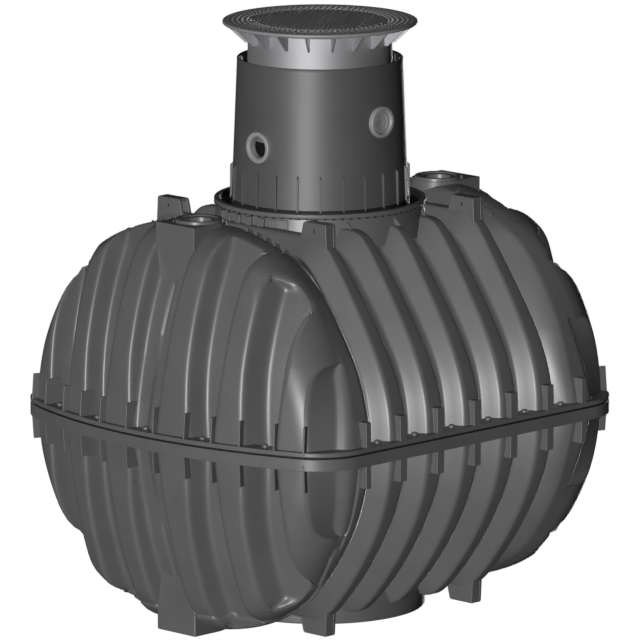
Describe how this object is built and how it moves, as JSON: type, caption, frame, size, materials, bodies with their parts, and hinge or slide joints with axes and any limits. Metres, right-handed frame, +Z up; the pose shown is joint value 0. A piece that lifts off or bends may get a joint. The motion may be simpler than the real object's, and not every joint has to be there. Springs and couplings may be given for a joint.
{
  "type": "underground rainwater tank",
  "caption": "Ribbed two-shell underground rainwater tank with a bolted flange, lifting lugs, end inlets, an access dome, a telescopic shaft and a lift-out lid.",
  "frame": {"origin": "middle of the underside, on the surface the tank stands on", "axes": "+X along the tank, +Y across it, +Z up"},
  "size_m": [2.2376, 1.926, 2.605],
  "materials": {
    "shell": "satin moulded polyethylene",
    "dome": "satin moulded polyethylene",
    "shaft": "smooth satin",
    "cover": "ribbed, satin",
    "outlet": "smooth satin",
    "seal": "matt"
  },
  "bodies": {
    "tank": {"upper_barrel_south": "shell", "upper_barrel_north": "shell", "upper_crown": "shell", "upper_west_end": "shell", "upper_east_end": "shell", "lifting_lugs": "shell", "lower_barrel_south": "shell", "lower_barrel_north": "shell", "bottom_panel": "shell", "lower_west_end": "shell", "lower_east_end": "shell", "support_feet": "shell", "base_ring": "shell", "joint_seal": "seal", "neck_collar": "shell", "west_port_socket": "shell", "east_port_socket": "shell", "access_dome": "dome", "west_outlet_ring": "outlet", "south_outlet_ring": "outlet", "south_outlet_plug": "outlet", "shaft_seal": "seal"},
    "shaft": {"telescopic_shaft": "shaft", "cover_frame": "cover", "cover_gussets": "cover"},
    "lid": {"lid": "cover"}
  },
  "joints": [
    {"name": "telescope_slide", "type": "slide", "parent": "tank", "child": "shaft", "axis": [0, 0, 1], "range_m": [-0.05, 0.2]},
    {"name": "lid_lift", "type": "slide", "parent": "shaft", "child": "lid", "axis": [0, 0, 1], "range_m": [0, 0.3]}
  ]
}
